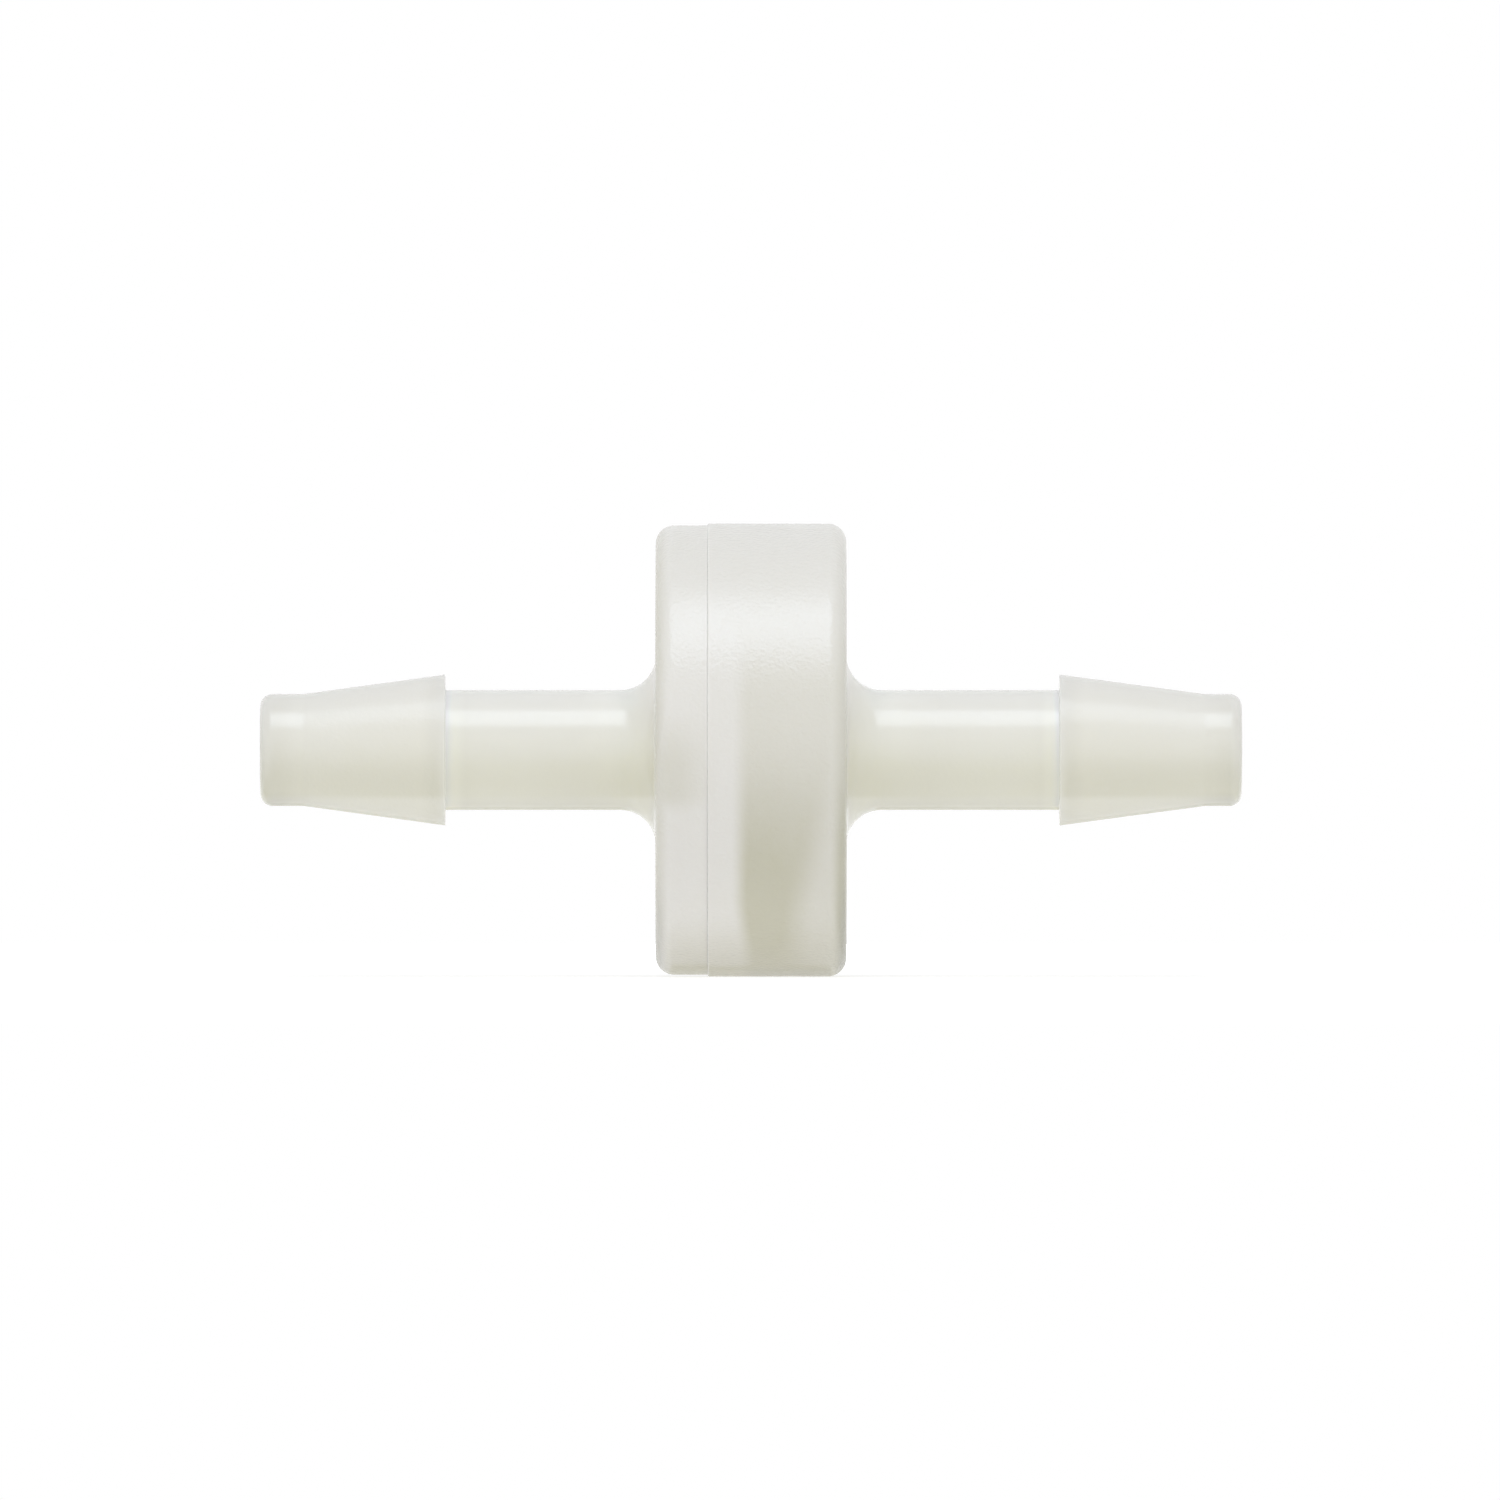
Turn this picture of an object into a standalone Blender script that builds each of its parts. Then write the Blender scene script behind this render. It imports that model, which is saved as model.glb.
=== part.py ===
"""In-line diaphragm check valve with a barbed hose end on each side.

Two moulded halves are welded together round a loose rubber diaphragm. Flow from the inlet lifts the
diaphragm off its seat and passes round its rim to the outlet; back flow presses it shut again.

Units are metres and +Z is up. The flow runs along +X, and the origin lies on the valve's axis, half
way between the two flat faces of the round body.
"""

import math

import bmesh
import bpy

# Hose ends: one bore runs through both, and the walls are measured outwards from it
BORE_DIAMETER = 0.0042
STEM_WALL = 0.00108
TIP_WALL = 0.00087
BARB_STEP = 0.00082
TIP_ROUND = 0.00064
STEM_FILLET = 0.00187

INLET_STEM_LENGTH = 0.01115
INLET_TAPER_LENGTH = 0.0075
INLET_TIP_LENGTH = 0.0023

OUTLET_STEM_LENGTH = 0.0113
OUTLET_TAPER_LENGTH = 0.0077
OUTLET_TIP_LENGTH = 0.00195

# Round body: lengths along the axis from the inlet face, with the chamber's own sizes further down
FLANGE_LENGTH = 0.0027
PLUG_LENGTH = 0.00185
OUTLET_WALL = 0.0025
EDGE_ROUND = 0.00098
SEAM_STEP = 0.00009

# Inlet half: a raised seat lip stands in a shallow recess in the end of its plug
SEAT_DIAMETER = 0.0092
LIP_WIDTH = 0.0006
LIP_RISE = 0.0002
RECESS_DEPTH = 0.0006
PLUG_RIM = 0.0018
PLUG_CHAMFER = 0.0003
FLARE_LENGTH = 0.0012

# Diaphragm: how far it reaches past the seat, and how far it lifts
SEAT_COVER = 0.0048
DIAPHRAGM_THICKNESS = 0.0010
DIAPHRAGM_ROUND = 0.00025
LIFT = 0.0010

# Outlet half: free passage round the diaphragm, cup wall, cone and the ribs that stop the diaphragm
PASSAGE = 0.0010
CUP_WALL = 0.0016
CUP_CHAMFER = 0.0003
ROOF_GAP = 0.00075
ROOF_RISE = 0.0015
RIB_COUNT = 6
RIB_WIDTH = 0.0009
RIB_SETBACK = 0.0006
RIB_INSET = 0.0010
RIB_ROOT = 0.0004

# Clearances
WELD_GAP = 0.00005
SEAT_GAP = 0.00005

# Fineness and shading of the round surfaces
SEGMENTS = 64
ARC_STEPS = 5
SHARP_ANGLE = math.radians(30)
MERGE_DISTANCE = 0.000001
ROUND_SHARE = 0.8

# Radii worked out from the axis outwards
BORE_RADIUS = BORE_DIAMETER / 2
STEM_RADIUS = BORE_RADIUS + STEM_WALL
TIP_RADIUS = BORE_RADIUS + TIP_WALL
BARB_RADIUS = STEM_RADIUS + BARB_STEP
SEAT_RADIUS = SEAT_DIAMETER / 2
LIP_INNER = SEAT_RADIUS - LIP_WIDTH / 2
LIP_OUTER = SEAT_RADIUS + LIP_WIDTH / 2
DIAPHRAGM_RADIUS = SEAT_RADIUS + SEAT_COVER
CHAMBER_RADIUS = DIAPHRAGM_RADIUS + PASSAGE
PLUG_RADIUS = CHAMBER_RADIUS - WELD_GAP
RECESS_RADIUS = PLUG_RADIUS - PLUG_RIM
OUTLET_RADIUS = CHAMBER_RADIUS + CUP_WALL
INLET_RADIUS = OUTLET_RADIUS - SEAM_STEP

# Places along the axis, as world X
CHAMBER_LENGTH = LIP_RISE + SEAT_GAP + DIAPHRAGM_THICKNESS + LIFT + SEAT_GAP + ROOF_GAP
BODY_LENGTH = FLANGE_LENGTH + PLUG_LENGTH + CHAMBER_LENGTH + OUTLET_WALL
FACE = BODY_LENGTH / 2
SEAM = FLANGE_LENGTH - FACE
PLUG_END = SEAM + PLUG_LENGTH
SEAT = PLUG_END + LIP_RISE
CLOSED = SEAT + SEAT_GAP
ROOF_EDGE = PLUG_END + CHAMBER_LENGTH
STOP = ROOF_EDGE - ROOF_GAP


def clear_scene():
    """Removes every object, so that the script can run in any file."""
    for item in list(bpy.data.objects):
        bpy.data.objects.remove(item, do_unlink=True)


def new_collection(name):
    """A collection of that name in the scene."""
    made = bpy.data.collections.new(name)
    bpy.context.scene.collection.children.link(made)
    return made


def new_material(name, colour, roughness):
    """A Principled material of one colour, for a plastic or a rubber."""
    made = bpy.data.materials.new(name)
    made.use_nodes = True
    shader = made.node_tree.nodes["Principled BSDF"]
    shader.inputs["Base Color"].default_value = (*colour, 1)
    shader.inputs["Roughness"].default_value = roughness
    shader.inputs["Metallic"].default_value = 0
    return made


def arc(centre, radius, start, end):
    """Points of an arc about centre, both ends included, with angles in degrees from the outward side."""
    points = []
    for step in range(ARC_STEPS + 1):
        angle = math.radians(start + (end - start) * step / ARC_STEPS)
        points.append((centre[0] + radius * math.cos(angle), centre[1] + radius * math.sin(angle)))
    return points


def turned(name, outline, collection, material, is_ring):
    """A turned piece: the outline holds (radius, height) points that run down the outer side.

    A ring's outline closes on itself round the bore, and a solid's starts and ends on the axis.
    """
    mesh = bpy.data.meshes.new(name)
    shape = bmesh.new()
    corners = [shape.verts.new((radius, 0, height)) for radius, height in outline]
    for first, second in zip(corners, corners[1:]):
        shape.edges.new((first, second))
    if is_ring:
        shape.edges.new((corners[-1], corners[0]))
    shape.to_mesh(mesh)
    shape.free()
    mesh.materials.append(material)
    piece = bpy.data.objects.new(name, mesh)
    collection.objects.link(piece)
    spin = piece.modifiers.new("Turn", "SCREW")
    spin.axis = "Z"
    spin.angle = math.tau
    spin.steps = SEGMENTS
    spin.render_steps = SEGMENTS
    spin.use_merge_vertices = True
    spin.merge_threshold = MERGE_DISTANCE
    return piece


def hose_end(stem_length, taper_length, tip_length, body_radius, rim_length):
    """Outer side of a half, from the bore at the tip of its barb down to the rounded edge of the body.

    Heights are measured outwards from the middle of the body.
    """
    shoulder = FACE + stem_length
    nose = shoulder + taper_length
    tip = nose + tip_length
    tip_round = min(TIP_ROUND, ROUND_SHARE * TIP_WALL, ROUND_SHARE * tip_length)
    fillet = min(STEM_FILLET, ROUND_SHARE * stem_length)
    edge = min(EDGE_ROUND, ROUND_SHARE * rim_length)
    return [
        (BORE_RADIUS, tip),
        *arc((TIP_RADIUS - tip_round, tip - tip_round), tip_round, 90, 0),
        (TIP_RADIUS, nose),
        (BARB_RADIUS, shoulder),
        (STEM_RADIUS, shoulder),
        *arc((STEM_RADIUS + fillet, FACE + fillet), fillet, 180, 270),
        *arc((body_radius - edge, FACE - edge), edge, 90, 0),
    ]


def make_inlet(collection, material):
    """Inlet half: barbed stem, flange, the plug that is welded into the cup, and the raised seat."""
    outer = hose_end(INLET_STEM_LENGTH, INLET_TAPER_LENGTH, INLET_TIP_LENGTH, INLET_RADIUS, FLANGE_LENGTH)
    seam = -SEAM
    plug_end = -PLUG_END
    seat = -SEAT
    recess = plug_end + RECESS_DEPTH
    inner = [
        (INLET_RADIUS, seam),
        (PLUG_RADIUS, seam),
        (PLUG_RADIUS, plug_end + PLUG_CHAMFER),
        (PLUG_RADIUS - PLUG_CHAMFER, plug_end),
        (RECESS_RADIUS, plug_end),
        (RECESS_RADIUS, recess),
        (LIP_OUTER, recess),
        (LIP_OUTER, seat),
        (LIP_INNER, seat),
        (LIP_INNER, recess),
        (BORE_RADIUS, recess + FLARE_LENGTH),
    ]
    piece = turned("inlet_body", outer + inner, collection, material, is_ring=True)
    piece.rotation_euler = (0, -math.pi / 2, 0)
    return piece


def roof_height(radius):
    """Height of the cone over the chamber, which rises from the cup wall to the outlet bore."""
    return ROOF_EDGE + ROOF_RISE * (CHAMBER_RADIUS - radius) / (CHAMBER_RADIUS - BORE_RADIUS)


def make_outlet(collection, material):
    """Outlet half: barbed stem, and the cup whose wall and cone close the chamber."""
    cup_depth = BODY_LENGTH - FLANGE_LENGTH
    outer = hose_end(OUTLET_STEM_LENGTH, OUTLET_TAPER_LENGTH, OUTLET_TIP_LENGTH, OUTLET_RADIUS, cup_depth)
    rim = SEAM + WELD_GAP
    inner = [
        (OUTLET_RADIUS, rim),
        (CHAMBER_RADIUS + CUP_CHAMFER, rim),
        (CHAMBER_RADIUS, rim + CUP_CHAMFER),
        (CHAMBER_RADIUS, ROOF_EDGE),
        (BORE_RADIUS, roof_height(BORE_RADIUS)),
    ]
    piece = turned("outlet_body", outer + inner, collection, material, is_ring=True)
    piece.rotation_euler = (0, math.pi / 2, 0)
    return piece


def rib_mesh():
    """One rib: a plate under the cone, with a straight edge that stops the lifted diaphragm."""
    inner = BORE_RADIUS + RIB_SETBACK
    outer = DIAPHRAGM_RADIUS - RIB_INSET
    outline = [
        (inner, STOP),
        (outer, STOP),
        (outer, roof_height(outer) + RIB_ROOT),
        (inner, roof_height(inner) + RIB_ROOT),
    ]
    curve = bpy.data.curves.new("rib", "CURVE")
    curve.dimensions = "2D"
    curve.fill_mode = "BOTH"
    curve.extrude = RIB_WIDTH / 2
    spline = curve.splines.new("POLY")
    spline.points.add(len(outline) - 1)
    for point, (radius, height) in zip(spline.points, outline):
        point.co = (radius, height, 0, 1)
    spline.use_cyclic_u = True
    plate = bpy.data.objects.new("rib", curve)
    bpy.context.scene.collection.objects.link(plate)
    graph = bpy.context.evaluated_depsgraph_get()
    mesh = bpy.data.meshes.new_from_object(plate.evaluated_get(graph))
    bpy.data.objects.remove(plate)
    shape = bmesh.new()
    shape.from_mesh(mesh)
    bmesh.ops.remove_doubles(shape, verts=shape.verts, dist=MERGE_DISTANCE)
    bmesh.ops.recalc_face_normals(shape, faces=shape.faces)
    shape.to_mesh(mesh)
    shape.free()
    return mesh


def add_ribs(outlet, helpers):
    """Joins the ribs to the cone, evenly round the axis."""
    mesh = rib_mesh()
    for index in range(RIB_COUNT):
        rib = bpy.data.objects.new(f"rib_{index + 1}", mesh)
        helpers.objects.link(rib)
        rib.parent = outlet
        rib.rotation_euler = (math.pi / 2, 0, math.tau * index / RIB_COUNT)
        rib.hide_render = True
        rib.display_type = "WIRE"
        join = outlet.modifiers.new(f"Rib {index + 1}", "BOOLEAN")
        join.operation = "UNION"
        join.object = rib


def make_diaphragm(collection, material):
    """Flat rubber disc, loose between the seat and the ribs, and drawn closed on the seat."""
    edge = min(DIAPHRAGM_ROUND, ROUND_SHARE * DIAPHRAGM_THICKNESS / 2)
    rim = DIAPHRAGM_RADIUS - edge
    outline = [
        (0, DIAPHRAGM_THICKNESS),
        *arc((rim, DIAPHRAGM_THICKNESS - edge), edge, 90, 0),
        *arc((rim, edge), edge, 0, -90),
        (0, 0),
    ]
    piece = turned("diaphragm", outline, collection, material, is_ring=False)
    piece.rotation_euler = (0, math.pi / 2, 0)
    piece.location = (CLOSED, 0, 0)
    return piece


def settle(piece):
    """Makes the piece's modifiers plain faces, shaded smooth with its corners left sharp."""
    graph = bpy.context.evaluated_depsgraph_get()
    mesh = bpy.data.meshes.new_from_object(piece.evaluated_get(graph))
    mesh.shade_smooth()
    mesh.set_sharp_from_angle(angle=SHARP_ANGLE)
    piece.modifiers.clear()
    piece.data = mesh


def main():
    clear_scene()
    parts = new_collection("check_valve")
    helpers = new_collection("check_valve_helpers")
    natural_plastic = new_material("natural_plastic", (0.80, 0.79, 0.72), 0.38)
    silicone_rubber = new_material("silicone_rubber", (0.62, 0.60, 0.54), 0.55)

    axis = bpy.data.objects.new("valve_axis", None)
    parts.objects.link(axis)
    inlet = make_inlet(parts, natural_plastic)
    outlet = make_outlet(parts, natural_plastic)
    add_ribs(outlet, helpers)
    diaphragm = make_diaphragm(parts, silicone_rubber)
    for piece in (inlet, outlet, diaphragm):
        settle(piece)
        piece.parent = axis


main()
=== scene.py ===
"""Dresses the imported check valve: milky moulded halves, a rubber diaphragm, and a plain white stage.

Lengths are in metres, and the valve's axis lies along X.
"""

import math
from types import SimpleNamespace

import bpy
from bpy.props import FloatProperty, FloatVectorProperty, IntProperty, PointerProperty
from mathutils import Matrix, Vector


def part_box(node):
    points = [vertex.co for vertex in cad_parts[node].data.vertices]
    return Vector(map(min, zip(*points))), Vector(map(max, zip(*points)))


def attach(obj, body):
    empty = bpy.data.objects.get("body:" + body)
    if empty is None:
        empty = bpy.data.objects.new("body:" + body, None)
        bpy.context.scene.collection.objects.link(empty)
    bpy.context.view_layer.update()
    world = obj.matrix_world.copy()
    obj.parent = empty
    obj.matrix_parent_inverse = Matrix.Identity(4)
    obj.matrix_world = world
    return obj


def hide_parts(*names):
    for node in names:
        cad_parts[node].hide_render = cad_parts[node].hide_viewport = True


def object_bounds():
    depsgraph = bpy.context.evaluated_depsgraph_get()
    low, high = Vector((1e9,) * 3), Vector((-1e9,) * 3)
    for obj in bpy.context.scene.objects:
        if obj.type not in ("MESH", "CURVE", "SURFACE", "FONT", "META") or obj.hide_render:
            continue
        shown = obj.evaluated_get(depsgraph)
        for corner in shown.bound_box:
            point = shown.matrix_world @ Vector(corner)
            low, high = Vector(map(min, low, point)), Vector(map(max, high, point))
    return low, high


bl_info = {
    "name": "Diaphragm check valve",
    "version": (1, 0, 0),
    "blender": (4, 5, 0),
    "location": "View3D > Sidebar > Valve",
    "description": "Makes the finished surfaces of an in-line check valve with two hose barbs",
    "category": "Add Mesh",
}

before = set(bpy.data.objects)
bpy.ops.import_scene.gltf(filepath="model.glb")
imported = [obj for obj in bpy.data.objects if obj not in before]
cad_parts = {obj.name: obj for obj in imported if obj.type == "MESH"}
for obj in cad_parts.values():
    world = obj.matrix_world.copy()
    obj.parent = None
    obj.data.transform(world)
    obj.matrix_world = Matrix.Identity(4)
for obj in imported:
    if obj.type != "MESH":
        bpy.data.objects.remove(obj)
CAD_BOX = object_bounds()
INLET_LOW, INLET_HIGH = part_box("inlet_body")
OUTLET_LOW, OUTLET_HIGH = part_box("outlet_body")
DISC_LOW, DISC_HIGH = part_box("diaphragm")

# Turning of outlines
INLET_TURN = -math.pi / 2
OUTLET_TURN = math.pi / 2
ARC_STEP = math.radians(7)
LEAST_ARC_STEPS = 4
ARC_MARGIN = 0.00003
MERGE_DISTANCE = 0.000001
SHARP_ANGLE = math.radians(30)
FIT_TOLERANCE = 0.00001

# Hose ends
NOSE_ROUND = 0.002

# Plug and seat of the inlet half
FLANGE = 0.0027
WELD_GAP = 0.000001
PLUG_CLEARANCE = 0.00005
PLUG_CHAMFER = 0.0003
PLUG_WALL = 0.0018
RECESS_DEPTH = 0.0006
SEAT_INNER = 0.0043
SEAT_OUTER = 0.0049
SEAT_ROUND = 0.0001
THROAT_DEPTH = 0.0012

# Cup and ribs of the outlet half
CUP_CHAMFER = 0.0003
CHAMBER_DEPTH = 0.00305
ROOF_ROUND = 0.0003
ROOF_RISE = 0.0015
LIFT = 0.001
STOP_CLEARANCE = 0.00005
RIB_COUNT = 6
RIB_WIDTH = 0.0009
RIB_INSET = 0.0006
RIB_MARGIN = 0.001

# Diaphragm
DISC_ROUND = 0.00025

# Every ramp below is (start, end) or (start, end, result at start, result at end)

# Regions of the valve, by radius, by place along the axis and by how far they face down
RIM_RADIUS = (0.0105, 0.0113)
BODY_RADIUS = (0.0050, 0.0060)
HOSE_END_RADIUS = (0.0050, 0.0041)
FILLET_FROM_FACE = (0.0045, 0.0008)
ROOT_FROM_SHOULDER = (-0.0012, 0)
BARB_FROM_SHOULDER = (-0.00002, 0.00002)
TIP_FROM_NOSE = (-0.0004, 0.0006)
UNDERSIDE_FACING = (0.70, 0.98)

# Yellow of the thin resin, partly painted shade that yellows it towards the bottom, and its clouds
YELLOW_HEIGHT = (0.0045, -0.0025)
YELLOW_BARB = (0, 1, 1, 0.82)
YELLOW_FILLET = 0.2
YELLOW_ROOT = 0.4
YELLOW_STEM_HEIGHT = (0, -0.0020, 0, 0.25)
CLOUD_SIZE = 0.006
CLOUD_DETAIL = 2
CLOUD_BLEND = (0.3, 0.7, 0, 0.05)

# Painted shade of the chamber that shows through the cup's wall, darkest below
CHAMBER_UPPER_HEIGHT = (0.0075, 0.0022, 0, 0.28)
CHAMBER_LOWER_HEIGHT = (0.0020, -0.0073, 0, 0.72)
CHAMBER_FOOT_HEIGHT = (-0.0085, -0.0123, 1, 0.3)
PLUG_SHIFT_HEIGHT = (-0.0078, -0.0112, 0, -0.0004)
PLUG_SIDE = (-0.00110, -0.00005)
ROOF_FOOT = -0.0088
ROOF_SLOPE = -0.25
ROOF_SIDE = (0.0036, 0.0056, 1.06, 0.40)
ROOF_FADE = (0.0008, 0.0024, 1, 0.92)

# Painted shade on the flange, level with the bore and at its edge
FLANGE_PATCH_TOP = (0.0025, -0.0010)
FLANGE_PATCH_FOOT = (-0.0022, -0.0036, 1, 0)
FLANGE_PATCH_SIDE = (-0.0014, -0.0042, 0, 0.42)
FLANGE_EDGE = (-0.0043, -0.0051, 0, 0.5)

# Painted shade on the edge of the outlet half and on the undersides
OUTLET_EDGE = (0.0041, 0.0050)
OUTLET_EDGE_HEIGHT = (0.004, -0.0075, 0.18, 0.9)
RIM_UNDERSIDE_FACING = (0.70, 0.98, 0, 0.5)
LOWEST_FACING = (0.93, 1.0)

# Painted shade of the bore that shows through the hose ends, and of the tips' lower corners
BORE_TOP = (0.0008, -0.0020)
BORE_FOOT = (-0.0023, -0.0027, 1, 0)
BORE_SHADE = 0.15
BORE_SHADE_CONE = 0.14
BORE_SHADE_TIP = 0.15
BORE_SHADE_FILLET = 0.18
TIP_CORNER_FROM_NOSE = (0.001425, 0.002325)
TIP_CORNER_FACING = (0.3, 1.0)

# Painted light and shade on the stems
STEM_FILLET_PAINTED_LIGHT = 0.10
STEM_ROOT_PAINTED_LIGHT = 0.19
STEM_UNDERSIDE_PAINTED_SHADE = -0.07
STEM_CROWN_HEIGHT = (0.0016, 0.0030, 0.045, 0.085)
STEM_END_FROM_FACE = (0.0018, 0, 0, -0.10)
STEM_CORNER_FROM_SHOULDER = (-0.0005, -0.0001, 0, 0.09)

# Painted shade on the barbs
BARB_EDGE_FROM_SHOULDER = (0.0015, 0, 0, -0.10)
BARB_END_FROM_NOSE = (-0.0002, 0.002325, 0, -0.135)
BARB_UNDERSIDE_FROM_NOSE = (-0.003, 0.0015, -0.03, -0.13)

# Painted shade in the ring where a fillet meets its face, by radius and by height on its circle
CREASE_INNER = (0.0037, 0.0045)
CREASE_OUTER = (0.0053, 0.0046)
CREASE_BELOW = (-0.40, -0.85, 0, -0.14)
CREASE_ABOVE = (0.5, 0.9, 0, -0.03)

# Painted light on the seam above the axis and painted shade below it
SEAM_LIGHT_START = (-0.00245, -0.00235)
SEAM_LIGHT_END = (-0.00229, -0.00223, 1, 0)
SEAM_LIGHT_HEIGHT = (0.0005, -0.0035, 0.05, 0)
SEAM_DARK_START = (-0.00238, -0.00230)
SEAM_DARK_END = (-0.00226, -0.00218, 1, 0)
SEAM_DARK_HEIGHT = (-0.0010, -0.0050, 0, -0.037)

# Painted shade on the body's edges and on the cup's underside
BODY_EDGE = (0.0043, 0.0050)
OUTLET_EDGE_LEVEL_HEIGHT = (0, -0.0045, -0.03, -0.09)
LOW_EDGE_LEVEL_HEIGHT = (-0.0055, -0.0115, 0, -0.27)
CUP_SIDE = (-0.0006, 0.0002)
CUP_UNDERSIDE_FACING = (0.95, 0.985, 0, -0.08)

# Finish of the resin
RESIN_ROUGHNESS = 0.2
BODY_ROUGHNESS = 0.045
CONE_ROUGHNESS = 0.065
RESIN_GRAIN_SIZE = 0.0002
RESIN_GRAIN_DETAIL = 1
RESIN_GRAIN_DEPTH = 0.000044
RESIN_GRAIN = 0.1
BODY_GRAIN = 0.6
CONE_GRAIN = 0.1
RESIN_IOR = 1.5
RESIN_GLOSS = (0.83, 0.89, 1, 1)
RESIN_SCATTER = (1, 1, 1)
RIM_SCATTER_DEPTH = 0.0001

# Finish of the rubber
MOTTLE_SIZE = 0.0025
MOTTLE_DETAIL = 3
MOTTLE_BLEND = (0.3, 0.7)
RUBBER_PATCH_SIZE = 0.0012
RUBBER_PATCH_DETAIL = 2
RUBBER_ROUGHNESS = (0.3, 0.7, 0.48, 0.62)
RUBBER_GRAIN_SIZE = 0.00015
RUBBER_GRAIN_DETAIL = 2
RUBBER_GRAIN_DEPTH = 0.00002
RUBBER_GRAIN = 0.5

# Sockets of a Mix node that is set to colours
MIX_FIRST = 6
MIX_SECOND = 7
MIX_RESULT = 2

# Frame of the photograph, with the column of pixels that the body's middle falls on
PHOTO_WIDTH = 1500
PHOTO_MIDDLE = 751.0
PHOTO_METRES_PER_PIXEL = 0.000053
LENS = 800
SENSOR = 36
NEAREST = 0.01
FARTHEST = 10

# Stage
WHITE = (1, 1, 1, 1)
FILL_LEVEL = 0.654
FILL_SIDES = 0.3
FILL_LEAN = (-0.015, -0.22, -0.34)
FLOOR_HALF = 0.3
FLOOR_GAP = 0.00002
FLOOR_COLOUR = (0.5, 0.5, 0.5, 1)
FLOOR_FILL = 0.5
FLOOR_SEEN = (0.03, 0.15, 0.66, 1)
SOFTBOX_LEVEL = 3.22
SOFTBOX_COLOUR = (0.94, 0.975, 1.0)
SOFTBOX_DISTANCE = 0.5
SOFTBOX_SPREAD = math.radians(17)
SOFTBOX_RISE = math.radians(65)


class ValveSizes(bpy.types.PropertyGroup):
    """Sizes of the valve that a user would change."""

    bore: FloatProperty(
        name="Bore", description="Diameter of the bore through both ends", default=0.0042, unit="LENGTH"
    )
    tip: FloatProperty(
        name="Tip", description="Outer diameter of each tip", default=0.00594, unit="LENGTH"
    )
    stem: FloatProperty(
        name="Stem", description="Outer diameter of each stem", default=0.00636, unit="LENGTH"
    )
    barb: FloatProperty(
        name="Barb", description="Diameter of each barb at its shoulder", default=0.0080, unit="LENGTH"
    )
    inlet_stem: FloatProperty(
        name="Inlet stem", description="From the inlet face to the shoulder", default=0.01115, unit="LENGTH"
    )
    inlet_taper: FloatProperty(
        name="Inlet taper", description="Length of the inlet barb's cone", default=0.0075, unit="LENGTH"
    )
    outlet_stem: FloatProperty(
        name="Outlet stem", description="From the outlet face to the shoulder", default=0.0113, unit="LENGTH"
    )
    outlet_taper: FloatProperty(
        name="Outlet taper", description="Length of the outlet barb's cone", default=0.0077, unit="LENGTH"
    )
    body: FloatProperty(
        name="Body", description="Length of the round body, face to face", default=0.0101, unit="LENGTH"
    )
    plug: FloatProperty(
        name="Plug", description="How far the inlet half goes into the cup", default=0.00185, unit="LENGTH"
    )
    cup_wall: FloatProperty(
        name="Cup wall", description="Wall of the cup round the chamber", default=0.0016, unit="LENGTH"
    )
    tip_round: FloatProperty(
        name="Tip round", description="Round at the end of each tip", default=0.00064, unit="LENGTH"
    )
    stem_fillet: FloatProperty(
        name="Stem fillet", description="Fillet from stem to face", default=0.00187, unit="LENGTH"
    )
    edge_round: FloatProperty(
        name="Edge round", description="Round of the body's edges", default=0.00098, unit="LENGTH"
    )
    crisp_round: FloatProperty(
        name="Crisp round",
        description="Round that a mould leaves on a sharp edge",
        default=0.00005,
        unit="LENGTH",
    )
    barb_edge: FloatProperty(
        name="Barb edge", description="Round of the edge that grips the hose", default=0.00002, unit="LENGTH"
    )
    segments: IntProperty(name="Segments", description="Facets round the axis", default=192, min=24)


class ValveColours(bpy.types.PropertyGroup):
    """Colours and finishes of the valve that a user would change."""

    plastic: FloatVectorProperty(
        name="Plastic", description="Natural resin", default=(0.818, 0.8005, 0.761), subtype="COLOR", size=3
    )
    # Thin resin's yellow, also laid on the lower side of the hose ends as painted shade
    thin_plastic: FloatVectorProperty(
        name="Thin plastic",
        description="Resin where it is thin",
        default=(0.80, 0.785, 0.682),
        subtype="COLOR",
        size=3,
    )
    # Painted shade colour where the hollows show through and on the undersides, also the tone of the resin's
    # clouds
    shade: FloatVectorProperty(
        name="Shade",
        description="Tint where the hollow shows through",
        default=(0.768, 0.760, 0.65),
        subtype="COLOR",
        size=3,
    )
    scatter_depth: FloatProperty(
        name="Scatter depth", description="How far light runs inside the resin", default=0.0016, unit="LENGTH"
    )
    rubber: FloatVectorProperty(
        name="Rubber", description="Diaphragm", default=(0.62, 0.60, 0.54), subtype="COLOR", size=3
    )
    dark_rubber: FloatVectorProperty(
        name="Dark rubber",
        description="Darker clouds in the diaphragm",
        default=(0.56, 0.54, 0.48),
        subtype="COLOR",
        size=3,
    )


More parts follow.
